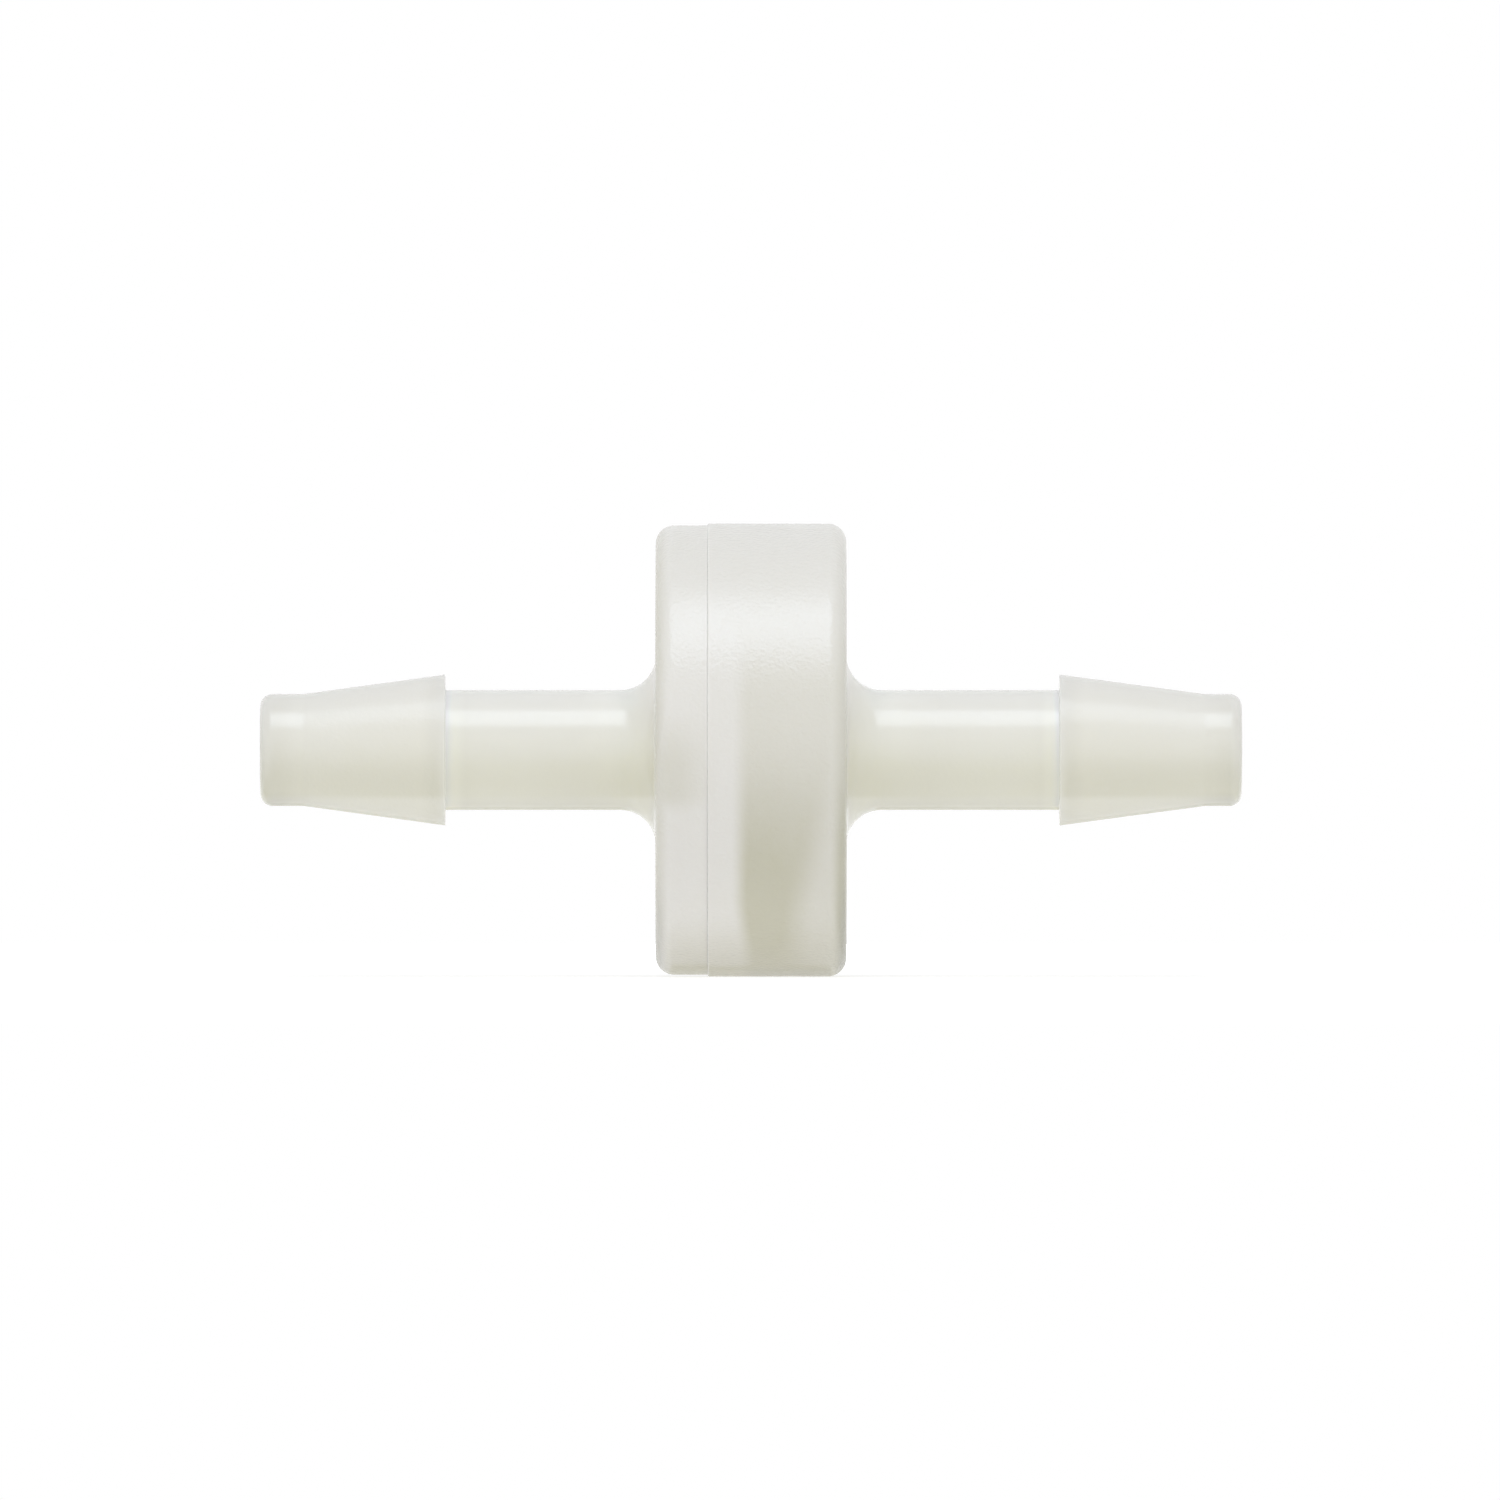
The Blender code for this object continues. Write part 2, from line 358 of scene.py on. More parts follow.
def rounded(corners):
    """Points of an outline whose corners, each (radius, height, round), are cut back to arcs."""
    points = []
    for index, (radius, height, fillet) in enumerate(corners):
        corner = Vector((radius, height))
        if fillet == 0:
            points.append(corner)
            continue
        before = Vector(corners[index - 1][:2]) - corner
        after = Vector(corners[(index + 1) % len(corners)][:2]) - corner
        before.normalize()
        after.normalize()
        half = before.angle(after) / 2
        cut = fillet / math.tan(half)
        middle = corner + (before + after).normalized() * fillet / math.sin(half)
        start = corner + before * cut - middle
        turn = start.angle_signed(corner + after * cut - middle)
        steps = max(LEAST_ARC_STEPS, math.ceil(abs(turn) / ARC_STEP))
        points.append(corner + before * (cut + ARC_MARGIN))
        for step in range(steps + 1):
            angle = -turn * step / steps
            across = start.x * math.cos(angle) - start.y * math.sin(angle)
            along = start.x * math.sin(angle) + start.y * math.cos(angle)
            points.append(middle + Vector((across, along)))
        points.append(corner + after * (cut + ARC_MARGIN))
    return points


def link(tree, source, output, target, entry):
    """Joins one node's named output to another's named input."""
    tree.links.new(source.outputs[output], target.inputs[entry])


def new_tree(name, sockets):
    """A geometry tree with a Geometry input, the named inputs and a Geometry output."""
    tree = bpy.data.node_groups.new(name, "GeometryNodeTree")
    tree.interface.new_socket("Geometry", in_out="INPUT", socket_type="NodeSocketGeometry")
    for label, kind in sockets:
        tree.interface.new_socket(label, in_out="INPUT", socket_type=kind)
    tree.interface.new_socket("Geometry", in_out="OUTPUT", socket_type="NodeSocketGeometry")
    return tree, tree.nodes.new("NodeGroupInput"), tree.nodes.new("NodeGroupOutput")


def finish_tree(tree, entry, last, output, result):
    """Ends a tree in Realize Instances and Set Material."""
    real = tree.nodes.new("GeometryNodeRealizeInstances")
    paint = tree.nodes.new("GeometryNodeSetMaterial")
    link(tree, last, output, real, "Geometry")
    link(tree, real, "Geometry", paint, "Geometry")
    link(tree, entry, "Material", paint, "Material")
    link(tree, paint, "Geometry", result, "Geometry")


def turning_tree():
    """Geometry nodes that turn an outline round the axis and lay the axis along X."""
    tree, entry, result = new_tree(
        "Turned piece",
        [
            ("Segments", "NodeSocketInt"),
            ("Swing", "NodeSocketFloat"),
            ("Turn", "NodeSocketVector"),
            ("Material", "NodeSocketMaterial"),
        ],
    )
    outline = tree.nodes.new("GeometryNodeMeshToCurve")
    swing = tree.nodes.new("GeometryNodeCurvePrimitiveCircle")
    skin = tree.nodes.new("GeometryNodeCurveToMesh")
    weld = tree.nodes.new("GeometryNodeMergeByDistance")
    weld.inputs["Distance"].default_value = MERGE_DISTANCE
    lay = tree.nodes.new("GeometryNodeTransform")
    smooth = tree.nodes.new("GeometryNodeSetShadeSmooth")
    link(tree, entry, "Geometry", outline, "Mesh")
    link(tree, entry, "Segments", swing, "Resolution")
    link(tree, entry, "Swing", swing, "Radius")
    link(tree, swing, "Curve", skin, "Curve")
    link(tree, outline, "Curve", skin, "Profile Curve")
    link(tree, skin, "Mesh", weld, "Geometry")
    link(tree, weld, "Geometry", lay, "Geometry")
    link(tree, entry, "Turn", lay, "Rotation")
    link(tree, lay, "Geometry", smooth, "Geometry")
    finish_tree(tree, entry, smooth, "Geometry", result)
    return tree


def rib_tree():
    """Geometry nodes that join evenly spaced ribs to the cone inside the outlet half."""
    tree, entry, result = new_tree(
        "Stop ribs",
        [
            ("Count", "NodeSocketInt"),
            ("Size", "NodeSocketVector"),
            ("Reach", "NodeSocketFloat"),
            ("Height", "NodeSocketVector"),
            ("Turn", "NodeSocketVector"),
            ("Material", "NodeSocketMaterial"),
        ],
    )
    ring = tree.nodes.new("GeometryNodeMeshCircle")
    plate = tree.nodes.new("GeometryNodeMeshCube")
    place = tree.nodes.new("GeometryNodeInstanceOnPoints")
    index = tree.nodes.new("GeometryNodeInputIndex")
    share = tree.nodes.new("ShaderNodeMath")
    share.operation = "DIVIDE"
    angle = tree.nodes.new("ShaderNodeMath")
    angle.operation = "MULTIPLY"
    angle.inputs[1].default_value = math.tau
    spin = tree.nodes.new("ShaderNodeCombineXYZ")
    raise_up = tree.nodes.new("GeometryNodeTransform")
    lay = tree.nodes.new("GeometryNodeTransform")
    real = tree.nodes.new("GeometryNodeRealizeInstances")
    join = tree.nodes.new("GeometryNodeMeshBoolean")
    join.operation = "UNION"
    join.solver = "EXACT"
    link(tree, entry, "Count", ring, "Vertices")
    link(tree, entry, "Reach", ring, "Radius")
    link(tree, entry, "Size", plate, "Size")
    link(tree, ring, "Mesh", place, "Points")
    link(tree, plate, "Mesh", place, "Instance")
    link(tree, index, "Index", share, 0)
    link(tree, entry, "Count", share, 1)
    link(tree, share, "Value", angle, 0)
    link(tree, angle, "Value", spin, "Z")
    link(tree, spin, "Vector", place, "Rotation")
    link(tree, place, "Instances", raise_up, "Geometry")
    link(tree, entry, "Height", raise_up, "Translation")
    link(tree, raise_up, "Geometry", lay, "Geometry")
    link(tree, entry, "Turn", lay, "Rotation")
    link(tree, lay, "Geometry", real, "Geometry")
    link(tree, entry, "Geometry", join, "Mesh 2")
    link(tree, real, "Geometry", join, "Mesh 2")
    finish_tree(tree, entry, join, "Mesh", result)
    return tree


def add_nodes(piece, tree, **values):
    """Puts a geometry tree on a piece, with its inputs set by their identifiers."""
    modifier = piece.modifiers.new(tree.name, "NODES")
    modifier.node_group = tree
    for item in tree.interface.items_tree:
        if item.in_out == "INPUT" and item.name in values:
            modifier[item.identifier] = values[item.name]


def outline_object(name, points, swing):
    """A loop of edges through the outline's points, open where it starts on the axis."""
    mesh = bpy.data.meshes.new(name)
    corners = [(point.x - swing, -point.y, 0) for point in points]
    edges = [(index, (index + 1) % len(points)) for index in range(len(points))]
    if points[0].x == 0:
        edges.pop()
    mesh.from_pydata(corners, edges, [])
    piece = bpy.data.objects.new(name, mesh)
    bpy.context.scene.collection.objects.link(piece)
    return piece


def turned_piece(name, corners, turn, material):
    """A piece that is turned from the corners of its outline, with its axis laid along X."""
    sizes = bpy.context.scene.valve_sizes
    swing = sizes.bore / 2
    piece = outline_object(name, rounded(corners), swing)
    add_nodes(
        piece,
        bpy.data.node_groups.get("Turned piece") or turning_tree(),
        Segments=sizes.segments,
        Swing=swing,
        Turn=(0, turn, 0),
        Material=material,
    )
    return piece


def make_plain(piece):
    """Turns a piece's modifiers into a plain mesh with sharp corners marked."""
    graph = bpy.context.evaluated_depsgraph_get()
    mesh = bpy.data.meshes.new_from_object(piece.evaluated_get(graph))
    piece.modifiers.clear()
    piece.data = mesh
    mesh.shade_smooth()
    mesh.set_sharp_from_angle(angle=SHARP_ANGLE)


def check_fit(piece, low, high):
    """Stops the script if a piece leaves the box of the solid that it stands for."""
    xs, ys, zs = zip(*(vertex.co for vertex in piece.data.vertices))
    found = [min(xs), min(ys), min(zs), max(xs), max(ys), max(zs)]
    wanted = [*low, *high]
    worst = max(abs(a - b) for a, b in zip(found, wanted))
    if worst > FIT_TOLERANCE:
        raise RuntimeError(f"{piece.name} is {worst * 1000:.3f} mm off its solid: {found} for {wanted}")


def set_up(piece, body, replaced):
    """Tells the frame what the piece rides on, and hides the solid that it stands for."""
    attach(piece, body)
    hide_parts(replaced)


def hose_end(sizes, stem, taper, tip_end, body_radius):
    """Corners of a half's outer side, from the bore at the tip to the body's edge.

    Heights run outwards from the middle of the body.
    """
    face = sizes.body / 2
    shoulder = face + stem
    crisp = sizes.crisp_round
    return [
        (sizes.bore / 2, tip_end, crisp),
        (sizes.tip / 2, tip_end, sizes.tip_round),
        (sizes.tip / 2, shoulder + taper, NOSE_ROUND),
        (sizes.barb / 2, shoulder, sizes.barb_edge),
        (sizes.stem / 2, shoulder, crisp),
        (sizes.stem / 2, face, sizes.stem_fillet),
        (body_radius, face, sizes.edge_round),
    ]


def wire(tree, value, socket):
    """Feeds a socket from another node's output, or sets it to a number."""
    if isinstance(value, bpy.types.NodeSocket):
        tree.links.new(value, socket)
    else:
        socket.default_value = value


def calculate(tree, operation, first, second=0.0):
    """A Math node's result."""
    made = tree.nodes.new("ShaderNodeMath")
    made.operation = operation
    wire(tree, first, made.inputs[0])
    wire(tree, second, made.inputs[1])
    return made.outputs[0]


def multiply(tree, *values):
    """The product of several numbers or outputs."""
    result = values[0]
    for value in values[1:]:
        result = calculate(tree, "MULTIPLY", result, value)
    return result


def total(tree, *values):
    """The sum of several numbers or outputs."""
    result = values[0]
    for value in values[1:]:
        result = calculate(tree, "ADD", result, value)
    return result


def ramp(tree, value, start, end, low=0.0, high=1.0):
    """A smooth change from low to high as the value goes from start to end."""
    made = tree.nodes.new("ShaderNodeMapRange")
    made.interpolation_type = "SMOOTHSTEP"
    wire(tree, value, made.inputs["Value"])
    made.inputs["From Min"].default_value = start
    made.inputs["From Max"].default_value = end
    made.inputs["To Min"].default_value = low
    made.inputs["To Max"].default_value = high
    return made.outputs["Result"]


def ramp_from(tree, value, origin, start, end, low=0.0, high=1.0):
    """A ramp whose start and end are measured from an origin."""
    return ramp(tree, value, origin + start, origin + end, low, high)


def between(tree, share, first, second):
    """A number that goes from the first to the second as the share grows."""
    made = tree.nodes.new("ShaderNodeMix")
    wire(tree, share, made.inputs["Factor"])
    wire(tree, first, made.inputs["A"])
    wire(tree, second, made.inputs["B"])
    return made.outputs["Result"]


def blend(tree, share, first, second, way="MIX"):
    """One colour going over into another, or multiplied by it."""
    made = tree.nodes.new("ShaderNodeMix")
    made.data_type = "RGBA"
    made.blend_type = way
    wire(tree, share, made.inputs["Factor"])
    for value, socket in ((first, made.inputs[MIX_FIRST]), (second, made.inputs[MIX_SECOND])):
        wire(tree, value if isinstance(value, bpy.types.NodeSocket) else (*value, 1), socket)
    return made.outputs[MIX_RESULT]


def split(tree, vector):
    """The X, Y and Z of a vector."""
    made = tree.nodes.new("ShaderNodeSeparateXYZ")
    tree.links.new(vector, made.inputs[0])
    return made.outputs


def noise(tree, place, grain, detail):
    """Noise whose features are about one grain across."""
    made = tree.nodes.new("ShaderNodeTexNoise")
    made.inputs["Scale"].default_value = 1 / grain
    made.inputs["Detail"].default_value = detail
    tree.links.new(place, made.inputs["Vector"])
    return made.outputs["Fac"]


def add_grain(tree, shader, pattern, depth, strength):
    """Gives a shader a fine moulded grain."""
    made = tree.nodes.new("ShaderNodeBump")
    made.inputs["Distance"].default_value = depth
    wire(tree, strength, made.inputs["Strength"])
    tree.links.new(pattern, made.inputs["Height"])
    tree.links.new(made.outputs["Normal"], shader.inputs["Normal"])


def new_material(name):
    """A material and its node tree."""
    made = bpy.data.materials.new(name)
    made.use_nodes = True
    return made, made.node_tree


def resin_places(tree):
    """Where a point of the resin lies: its coordinates, and its share in each region of the valve."""
    sizes = bpy.context.scene.valve_sizes
    coordinates = tree.nodes.new("ShaderNodeTexCoord")
    at = SimpleNamespace(place=coordinates.outputs["Object"])
    at.x, at.y, at.z = split(tree, at.place)
    at.facing_down = multiply(tree, split(tree, coordinates.outputs["Normal"])["Z"], -1)
    at.radius = calculate(tree, "SQRT", total(tree, multiply(tree, at.y, at.y), multiply(tree, at.z, at.z)))
    at.height_on_circle = calculate(tree, "DIVIDE", at.z, at.radius)
    middle = (sizes.outlet_stem - sizes.inlet_stem) / 2
    at.along = calculate(tree, "ABSOLUTE", calculate(tree, "SUBTRACT", at.x, middle))
    at.face = sizes.body / 2
    at.shoulder = at.face + (sizes.inlet_stem + sizes.outlet_stem) / 2
    at.nose = at.shoulder + (sizes.inlet_taper + sizes.outlet_taper) / 2
    at.rim = ramp(tree, at.radius, *RIM_RADIUS)
    at.body = ramp(tree, at.radius, *BODY_RADIUS)
    at.hose_end = ramp(tree, at.radius, *HOSE_END_RADIUS)
    at.fillet = ramp_from(tree, at.along, at.face, *FILLET_FROM_FACE)
    at.root = ramp_from(tree, at.along, at.shoulder, *ROOT_FROM_SHOULDER)
    at.barb = ramp_from(tree, at.along, at.shoulder, *BARB_FROM_SHOULDER)
    at.tip = ramp_from(tree, at.along, at.nose, *TIP_FROM_NOSE)
    at.cone = calculate(tree, "SUBTRACT", at.barb, at.tip)
    at.stem = calculate(tree, "SUBTRACT", 1, at.barb)
    at.underside = ramp(tree, at.facing_down, *UNDERSIDE_FACING)
    return at


def resin_colour(tree, at):
    """The resin's colour: yellower where it is thin, with faint clouds, and with painted shade that yellows
    it towards the bottom.
    """
    colours = bpy.context.scene.valve_colours
    even = multiply(tree, ramp(tree, at.z, *YELLOW_HEIGHT), ramp(tree, at.barb, *YELLOW_BARB))
    fillet = multiply(tree, at.fillet, YELLOW_FILLET)
    root = multiply(tree, at.root, YELLOW_ROOT)
    stem = multiply(tree, at.stem, total(tree, root, ramp(tree, at.z, *YELLOW_STEM_HEIGHT)))
    yellow = multiply(tree, at.hose_end, total(tree, even, fillet, stem))
    colour = blend(tree, yellow, colours.plastic, colours.thin_plastic)
    clouds = ramp(tree, noise(tree, at.place, CLOUD_SIZE, CLOUD_DETAIL), *CLOUD_BLEND)
    return blend(tree, clouds, colour, colours.shade)


def chamber_shade(tree, at):
    """Painted shade where the hollow in the cup shows through its wall: most below, least past the roof."""
    upper = ramp(tree, at.z, *CHAMBER_UPPER_HEIGHT)
    lower = ramp(tree, at.z, *CHAMBER_LOWER_HEIGHT)
    foot = ramp(tree, at.z, *CHAMBER_FOOT_HEIGHT)
    plug_side = ramp(tree, total(tree, at.x, ramp(tree, at.z, *PLUG_SHIFT_HEIGHT)), *PLUG_SIDE)
    slope = multiply(tree, calculate(tree, "MAXIMUM", at.z, ROOF_FOOT), ROOF_SLOPE)
    roof_side = ramp(tree, total(tree, at.x, slope), *ROOF_SIDE)
    fade = ramp(tree, at.x, *ROOF_FADE)
    return multiply(tree, total(tree, upper, lower), foot, plug_side, roof_side, fade)


def flange_shade(tree, at):
    """Painted shade on the flange: a soft patch level with the bore, and the round edge."""
    patch = multiply(
        tree,
        ramp(tree, at.z, *FLANGE_PATCH_TOP),
        ramp(tree, at.z, *FLANGE_PATCH_FOOT),
        ramp(tree, at.x, *FLANGE_PATCH_SIDE),
    )
    return calculate(tree, "MAXIMUM", patch, ramp(tree, at.x, *FLANGE_EDGE))


def bore_shade(tree, at):
    """Painted shade where the bore shows through the hose ends, as a band below the axis."""
    band = multiply(tree, ramp(tree, at.z, *BORE_TOP), ramp(tree, at.z, *BORE_FOOT))
    strength = total(
        tree,
        multiply(tree, at.cone, BORE_SHADE_CONE),
        multiply(tree, at.tip, BORE_SHADE_TIP),
        multiply(tree, at.fillet, BORE_SHADE_FILLET),
        BORE_SHADE,
    )
    return multiply(tree, band, strength)


def resin_shade(tree, at):
    """How strongly painted shade tints the resin where the hollows show through and on the underside."""
    outlet_edge = multiply(tree, ramp(tree, at.x, *OUTLET_EDGE), ramp(tree, at.z, *OUTLET_EDGE_HEIGHT))
    rim_underside = ramp(tree, at.facing_down, *RIM_UNDERSIDE_FACING)
    body = total(tree, chamber_shade(tree, at), flange_shade(tree, at), outlet_edge, rim_underside)
    # Painted shade at the lower corner of each tip
    corner_end = ramp_from(tree, at.along, at.nose, *TIP_CORNER_FROM_NOSE)
    tip_corner = multiply(tree, corner_end, ramp(tree, at.facing_down, *TIP_CORNER_FACING))
    hose = total(tree, bore_shade(tree, at), tip_corner)
    lowest = ramp(tree, at.facing_down, *LOWEST_FACING)
    return total(tree, multiply(tree, at.rim, body), multiply(tree, at.hose_end, hose), lowest)


def stem_painted_light_and_shade(tree, at):
    """Painted light and shade on the stems: lighter at their ends and on top, darker below."""
    return total(
        tree,
        multiply(tree, at.fillet, STEM_FILLET_PAINTED_LIGHT),
        multiply(tree, at.root, STEM_ROOT_PAINTED_LIGHT),
        multiply(tree, at.underside, STEM_UNDERSIDE_PAINTED_SHADE),
        ramp(tree, at.z, *STEM_CROWN_HEIGHT),
        ramp_from(tree, at.along, at.face, *STEM_END_FROM_FACE),
        ramp_from(tree, at.along, at.shoulder, *STEM_CORNER_FROM_SHOULDER),
    )


def barb_painted_shade(tree, at):
    """Painted shade on the barbs: darker by the shoulder, towards the end and below."""
    edge = multiply(tree, at.cone, ramp_from(tree, at.along, at.shoulder, *BARB_EDGE_FROM_SHOULDER))
    end = ramp_from(tree, at.along, at.nose, *BARB_END_FROM_NOSE)
    below = ramp_from(tree, at.along, at.nose, *BARB_UNDERSIDE_FROM_NOSE)
    return total(tree, edge, end, multiply(tree, at.barb, at.underside, below))


def crease_painted_shade(tree, at):
    """Painted shade on the fillets where they meet the faces, mostly below."""
    inner = ramp(tree, at.radius, *CREASE_INNER)
    outer = ramp(tree, at.radius, *CREASE_OUTER)
    below = ramp(tree, at.height_on_circle, *CREASE_BELOW)
    above = ramp(tree, at.height_on_circle, *CREASE_ABOVE)
    return multiply(tree, at.fillet, inner, outer, total(tree, below, above))


def seam_painted_light_and_shade(tree, at):
    """Painted light on the seam's line above the axis, and painted shade below it."""
    light = multiply(
        tree,
        ramp(tree, at.x, *SEAM_LIGHT_START),
        ramp(tree, at.x, *SEAM_LIGHT_END),
        ramp(tree, at.z, *SEAM_LIGHT_HEIGHT),
    )
    dark = multiply(
        tree,
        ramp(tree, at.x, *SEAM_DARK_START),
        ramp(tree, at.x, *SEAM_DARK_END),
        ramp(tree, at.z, *SEAM_DARK_HEIGHT),
    )
    return total(tree, light, dark)


def edge_painted_shade(tree, at):
    """Painted shade on the body's round edges and on the cup's underside."""
    outlet = multiply(tree, ramp(tree, at.x, *BODY_EDGE), ramp(tree, at.z, *OUTLET_EDGE_LEVEL_HEIGHT))
    both = ramp(tree, calculate(tree, "ABSOLUTE", at.x), *BODY_EDGE)
    low = multiply(tree, both, ramp(tree, at.z, *LOW_EDGE_LEVEL_HEIGHT))
    cup = multiply(tree, ramp(tree, at.x, *CUP_SIDE), ramp(tree, at.facing_down, *CUP_UNDERSIDE_FACING))
    return total(tree, outlet, low, cup)


def resin_painted_light_and_shade(tree, at):
    """What the resin's colour is multiplied by: painted light and shade on the stems, barbs, creases, seam
    and edges.
    """
    stems = multiply(tree, at.hose_end, at.stem, stem_painted_light_and_shade(tree, at))
    rim = multiply(tree, at.rim, total(tree, seam_painted_light_and_shade(tree, at), edge_painted_shade(tree, at)))
    return total(tree, 1, stems, barb_painted_shade(tree, at), crease_painted_shade(tree, at), rim)


def milky_plastic():
    """Natural resin: milky, finely grained on the body, smoother on the stems and tips."""
    colours = bpy.context.scene.valve_colours
    made, tree = new_material("milky_plastic")
    shader = tree.nodes["Principled BSDF"]
    at = resin_places(tree)
    # Painted shade tints the resin's colour, and painted light and shade then scale it
    tinted = blend(tree, resin_shade(tree, at), resin_colour(tree, at), colours.shade, "MULTIPLY")
    level = tree.nodes.new("ShaderNodeVectorMath")
    level.operation = "SCALE"
    tree.links.new(tinted, level.inputs[0])
    tree.links.new(resin_painted_light_and_shade(tree, at), level.inputs["Scale"])
    tree.links.new(level.outputs["Vector"], shader.inputs["Base Color"])

    body_roughness = multiply(tree, at.body, BODY_ROUGHNESS)
    cone_roughness = multiply(tree, at.cone, CONE_ROUGHNESS)
    roughness = total(tree, body_roughness, cone_roughness, RESIN_ROUGHNESS)
    tree.links.new(roughness, shader.inputs["Roughness"])
    body_grain = multiply(tree, at.body, BODY_GRAIN)
    cone_grain = multiply(tree, at.cone, CONE_GRAIN)
    strength = total(tree, body_grain, cone_grain, RESIN_GRAIN)
    grain = noise(tree, at.place, RESIN_GRAIN_SIZE, RESIN_GRAIN_DETAIL)
    add_grain(tree, shader, grain, RESIN_GRAIN_DEPTH, strength)

    shader.inputs["IOR"].default_value = RESIN_IOR
    shader.inputs["Specular Tint"].default_value = RESIN_GLOSS
    shader.subsurface_method = "RANDOM_WALK"
    shader.inputs["Subsurface Weight"].default_value = 1
    shader.inputs["Subsurface Radius"].default_value = RESIN_SCATTER
    depth = ramp(tree, at.radius, *RIM_RADIUS, colours.scatter_depth, RIM_SCATTER_DEPTH)
    tree.links.new(depth, shader.inputs["Subsurface Scale"])
    return made


def silicone_rubber():
    """Matte rubber for the diaphragm, faintly mottled, with a fine moulded grain."""
    colours = bpy.context.scene.valve_colours
    made, tree = new_material("silicone_rubber")
    shader = tree.nodes["Principled BSDF"]
    place = tree.nodes.new("ShaderNodeTexCoord").outputs["Object"]
    mottle = ramp(tree, noise(tree, place, MOTTLE_SIZE, MOTTLE_DETAIL), *MOTTLE_BLEND)
    tree.links.new(blend(tree, mottle, colours.rubber, colours.dark_rubber), shader.inputs["Base Color"])
    patches = noise(tree, place, RUBBER_PATCH_SIZE, RUBBER_PATCH_DETAIL)
    tree.links.new(ramp(tree, patches, *RUBBER_ROUGHNESS), shader.inputs["Roughness"])
    grain = noise(tree, place, RUBBER_GRAIN_SIZE, RUBBER_GRAIN_DETAIL)
    add_grain(tree, shader, grain, RUBBER_GRAIN_DEPTH, RUBBER_GRAIN)
    return made


class VALVE_OT_inlet_half(bpy.types.Operator):
    """Makes the inlet half: barb, stem, flange and the plug with its raised seat"""

    bl_idname = "valve.inlet_half"
    bl_label = "Inlet half"

    def execute(self, context):
        """Turns the inlet half's outline and hands the piece to the frame."""
        sizes = context.scene.valve_sizes
        radius = INLET_HIGH.z
        seam = WELD_GAP - OUTLET_LOW.x
        plug_end = sizes.body / 2 - FLANGE - sizes.plug
        plug_radius = OUTLET_HIGH.z - sizes.cup_wall - PLUG_CLEARANCE
        recess_radius = plug_radius - PLUG_WALL
        recess = plug_end + RECESS_DEPTH
        seat = -INLET_HIGH.x
        crisp = sizes.crisp_round
        corners = hose_end(sizes, sizes.inlet_stem, sizes.inlet_taper, -INLET_LOW.x, radius)
        corners += [
            (radius, seam, 0),
            (plug_radius, seam, 0),
            (plug_radius, plug_end + PLUG_CHAMFER, 0),
            (plug_radius - PLUG_CHAMFER, plug_end, 0),
            (recess_radius, plug_end, crisp),
            (recess_radius, recess, crisp),
            (SEAT_OUTER, recess, crisp),
            (SEAT_OUTER, seat, SEAT_ROUND),
            (SEAT_INNER, seat, SEAT_ROUND),
            (SEAT_INNER, recess, crisp),
            (sizes.bore / 2, recess + THROAT_DEPTH, crisp),
        ]
        material = bpy.data.materials.get("milky_plastic") or milky_plastic()
        piece = turned_piece("inlet_half", corners, INLET_TURN, material)
        make_plain(piece)
        check_fit(piece, INLET_LOW, INLET_HIGH)
        set_up(piece, "housing", "inlet_body")
        return {"FINISHED"}


class VALVE_OT_outlet_half(bpy.types.Operator):
    """Makes the outlet half: barb, stem and the cup with the ribs that stop the diaphragm"""

    bl_idname = "valve.outlet_half"
    bl_label = "Outlet half"

    def execute(self, context):
        """Turns the outlet half's outline, joins the ribs and hands the piece to the frame."""
        sizes = context.scene.valve_sizes
        radius = OUTLET_HIGH.z
        rim = OUTLET_LOW.x
        rim_round = OUTLET_HIGH.z - INLET_HIGH.z
        chamber = radius - sizes.cup_wall
        roof_edge = FLANGE + sizes.plug - sizes.body / 2 + CHAMBER_DEPTH
        roof_top = roof_edge + ROOF_RISE
        corners = hose_end(sizes, sizes.outlet_stem, sizes.outlet_taper, OUTLET_HIGH.x, radius)
        corners += [
            (radius, rim, rim_round),
            (chamber + CUP_CHAMFER, rim, 0),
            (chamber, rim + CUP_CHAMFER, 0),
            (chamber, roof_edge, ROOF_ROUND),
            (sizes.bore / 2, roof_top, sizes.crisp_round),
        ]
        material = bpy.data.materials.get("milky_plastic") or milky_plastic()
        piece = turned_piece("outlet_half", corners, OUTLET_TURN, material)
        stop = DISC_HIGH.x + LIFT + STOP_CLEARANCE
        inner = sizes.bore / 2 + RIB_INSET
        outer = DISC_HIGH.z - RIB_MARGIN
        add_nodes(
            piece,
            rib_tree(),
            Count=RIB_COUNT,
            Size=(outer - inner, RIB_WIDTH, roof_top - stop),
            Reach=(outer + inner) / 2,
            Height=(0, 0, (roof_top + stop) / 2),
            Turn=(0, OUTLET_TURN, 0),
            Material=material,
        )
        make_plain(piece)
        check_fit(piece, OUTLET_LOW, OUTLET_HIGH)
        set_up(piece, "housing", "outlet_body")
        return {"FINISHED"}


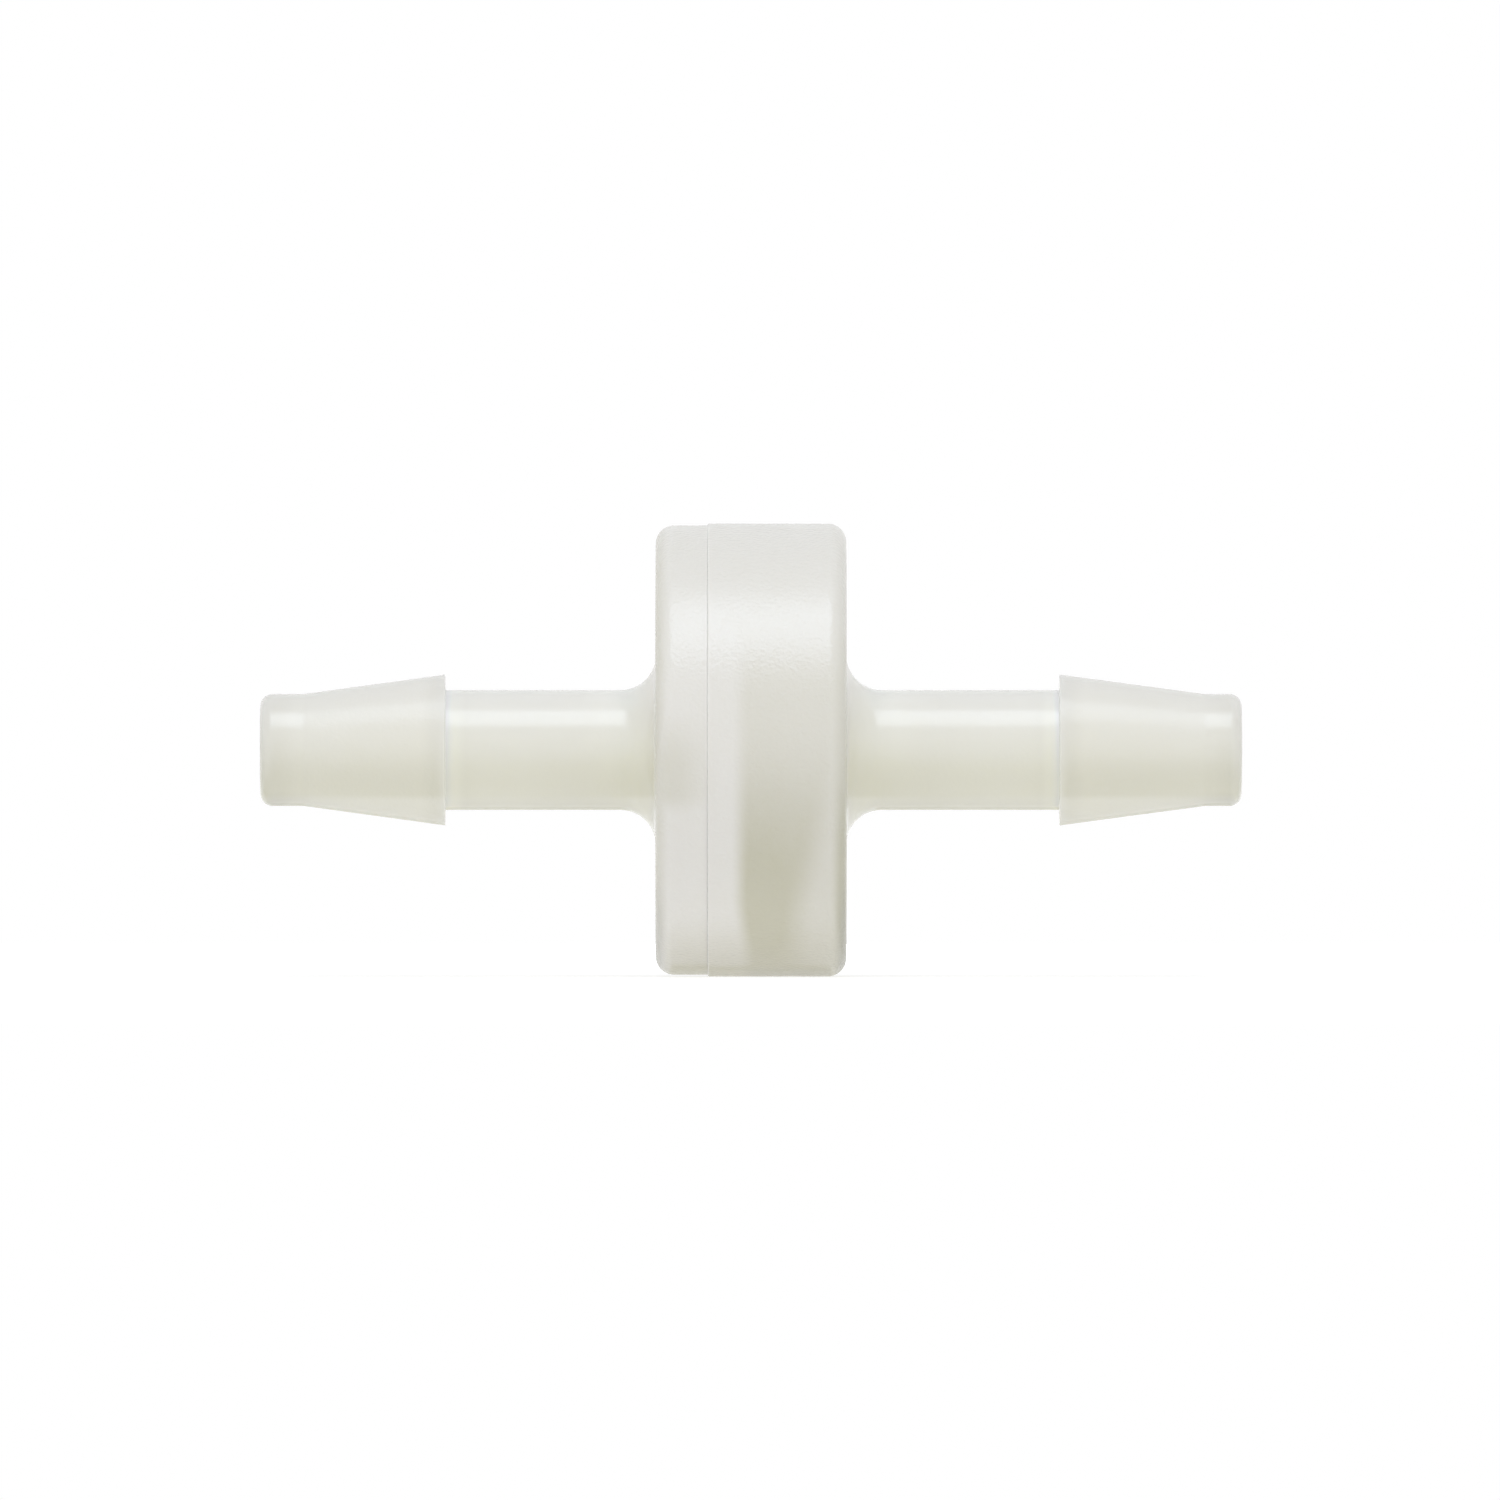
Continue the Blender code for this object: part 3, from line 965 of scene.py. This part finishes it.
class VALVE_OT_diaphragm(bpy.types.Operator):
    """Makes the loose rubber disc between the seat and the ribs"""

    bl_idname = "valve.diaphragm"
    bl_label = "Diaphragm"

    def execute(self, context):
        """Turns the disc's outline and hands the piece to the frame."""
        corners = [
            (0, DISC_HIGH.x, 0),
            (DISC_HIGH.z, DISC_HIGH.x, DISC_ROUND),
            (DISC_HIGH.z, DISC_LOW.x, DISC_ROUND),
            (0, DISC_LOW.x, 0),
        ]
        piece = turned_piece("rubber_diaphragm", corners, OUTLET_TURN, silicone_rubber())
        make_plain(piece)
        check_fit(piece, DISC_LOW, DISC_HIGH)
        set_up(piece, "disc", "diaphragm")
        return {"FINISHED"}


class VALVE_OT_stage(bpy.types.Operator):
    """Makes the white surroundings, the floor, the soft light and the camera"""

    bl_idname = "valve.stage"
    bl_label = "Stage"

    def execute(self, context):
        """Sets the view to plain colours and makes the stage's pieces in turn."""
        scene = context.scene
        scene.view_settings.view_transform = "Standard"
        make_world(scene)
        make_floor(scene)
        make_light(scene)
        make_camera(scene)
        return {"FINISHED"}


def seen_share(tree):
    """One for rays that show the surroundings themselves, and nought for rays that carry their light."""
    path = tree.nodes.new("ShaderNodeLightPath").outputs
    straight = calculate(tree, "MAXIMUM", path["Is Camera Ray"], path["Is Glossy Ray"])
    return calculate(tree, "MAXIMUM", straight, path["Is Transmission Ray"])


def make_world(scene):
    """White to look at, with a plain fill that is a little stronger from the front and from below."""
    world = bpy.data.worlds.new("white_room")
    scene.world = world
    world.use_nodes = True
    tree = world.node_tree
    tree.nodes.clear()
    direction = tree.nodes.new("ShaderNodeTexCoord").outputs["Generated"]
    lean = tree.nodes.new("ShaderNodeVectorMath")
    lean.operation = "DOT_PRODUCT"
    lean.inputs[1].default_value = FILL_LEAN
    tree.links.new(direction, lean.inputs[0])
    across = split(tree, direction)["X"]
    sides = multiply(tree, across, across, FILL_SIDES)
    fill = total(tree, lean.outputs["Value"], FILL_LEVEL, sides)
    light = tree.nodes.new("ShaderNodeBackground")
    light.inputs["Color"].default_value = WHITE
    tree.links.new(between(tree, seen_share(tree), fill, 1), light.inputs["Strength"])
    out = tree.nodes.new("ShaderNodeOutputWorld")
    link(tree, light, "Background", out, "Surface")


def white_floor():
    """Pale floor that glows like a light table, less so near the valve, and still takes its shadow."""
    made, tree = new_material("white_floor")
    tree.nodes.clear()
    base = tree.nodes.new("ShaderNodeBsdfDiffuse")
    base.inputs["Color"].default_value = FLOOR_COLOUR
    far = tree.nodes.new("ShaderNodeVectorMath")
    far.operation = "LENGTH"
    tree.links.new(tree.nodes.new("ShaderNodeTexCoord").outputs["Object"], far.inputs[0])
    seen = ramp(tree, far.outputs["Value"], *FLOOR_SEEN)
    glow = tree.nodes.new("ShaderNodeEmission")
    tree.links.new(between(tree, seen_share(tree), FLOOR_FILL, seen), glow.inputs["Strength"])
    add = tree.nodes.new("ShaderNodeAddShader")
    tree.links.new(base.outputs["BSDF"], add.inputs[0])
    tree.links.new(glow.outputs["Emission"], add.inputs[1])
    out = tree.nodes.new("ShaderNodeOutputMaterial")
    link(tree, add, "Shader", out, "Surface")
    return made


def make_floor(scene):
    """A square floor just under the body."""
    z = CAD_BOX[0].z - FLOOR_GAP
    corners = [(x * FLOOR_HALF, y * FLOOR_HALF, z) for x, y in ((-1, -1), (1, -1), (1, 1), (-1, 1))]
    mesh = bpy.data.meshes.new("floor")
    mesh.from_pydata(corners, [], [(0, 1, 2, 3)])
    mesh.materials.append(white_floor())
    floor = bpy.data.objects.new("floor", mesh)
    scene.collection.objects.link(floor)


def make_light(scene):
    """One square softbox, high up on the camera's side."""
    lamp = bpy.data.lights.new("softbox", "AREA")
    lamp.shape = "SQUARE"
    lamp.size = 2 * SOFTBOX_DISTANCE * math.tan(SOFTBOX_SPREAD)
    lamp.energy = SOFTBOX_LEVEL * math.pi * lamp.size**2
    lamp.color = SOFTBOX_COLOUR
    softbox = bpy.data.objects.new("softbox", lamp)
    softbox.location = (
        0,
        -SOFTBOX_DISTANCE * math.cos(SOFTBOX_RISE),
        SOFTBOX_DISTANCE * math.sin(SOFTBOX_RISE),
    )
    softbox.rotation_euler = (math.pi / 2 - SOFTBOX_RISE, 0, 0)
    softbox.visible_camera = False
    scene.collection.objects.link(softbox)


def make_camera(scene):
    """A long lens level with the axis, framed as the photograph is."""
    lens = bpy.data.cameras.new("camera")
    lens.lens = LENS
    lens.sensor_width = SENSOR
    lens.clip_start = NEAREST
    lens.clip_end = FARTHEST
    camera = bpy.data.objects.new("camera", lens)
    width = PHOTO_WIDTH * PHOTO_METRES_PER_PIXEL
    side = (PHOTO_WIDTH / 2 - PHOTO_MIDDLE) * PHOTO_METRES_PER_PIXEL
    camera.location = (side, -width * LENS / SENSOR, 0)
    camera.rotation_euler = (math.pi / 2, 0, 0)
    scene.collection.objects.link(camera)
    scene.camera = camera


class VALVE_PT_panel(bpy.types.Panel):
    """Lists the valve's pieces, sizes and colours"""

    bl_idname = "VALVE_PT_panel"
    bl_label = "Check valve"
    bl_space_type = "VIEW_3D"
    bl_region_type = "UI"
    bl_category = "Valve"

    def draw(self, context):
        """Shows a button for each operator, then the sizes and colours."""
        for operator in OPERATORS:
            self.layout.operator(operator.bl_idname)
        for group in (context.scene.valve_sizes, context.scene.valve_colours):
            for name in group.bl_rna.properties.keys():
                if name not in {"rna_type", "name"}:
                    self.layout.prop(group, name)


OPERATORS = (VALVE_OT_stage, VALVE_OT_inlet_half, VALVE_OT_outlet_half, VALVE_OT_diaphragm)
CLASSES = (ValveSizes, ValveColours, *OPERATORS, VALVE_PT_panel)


def register():
    """Registers the classes and hangs the sizes and colours on the scene."""
    for item in CLASSES:
        bpy.utils.register_class(item)
    bpy.types.Scene.valve_sizes = PointerProperty(type=ValveSizes)
    bpy.types.Scene.valve_colours = PointerProperty(type=ValveColours)


def unregister():
    """Takes away what register added."""
    del bpy.types.Scene.valve_colours
    del bpy.types.Scene.valve_sizes
    for item in reversed(CLASSES):
        bpy.utils.unregister_class(item)


def main():
    """Makes the stage and the pieces."""
    register()
    bpy.ops.valve.stage()
    bpy.ops.valve.inlet_half()
    bpy.ops.valve.outlet_half()
    bpy.ops.valve.diaphragm()


if __name__ == "__main__":
    main()
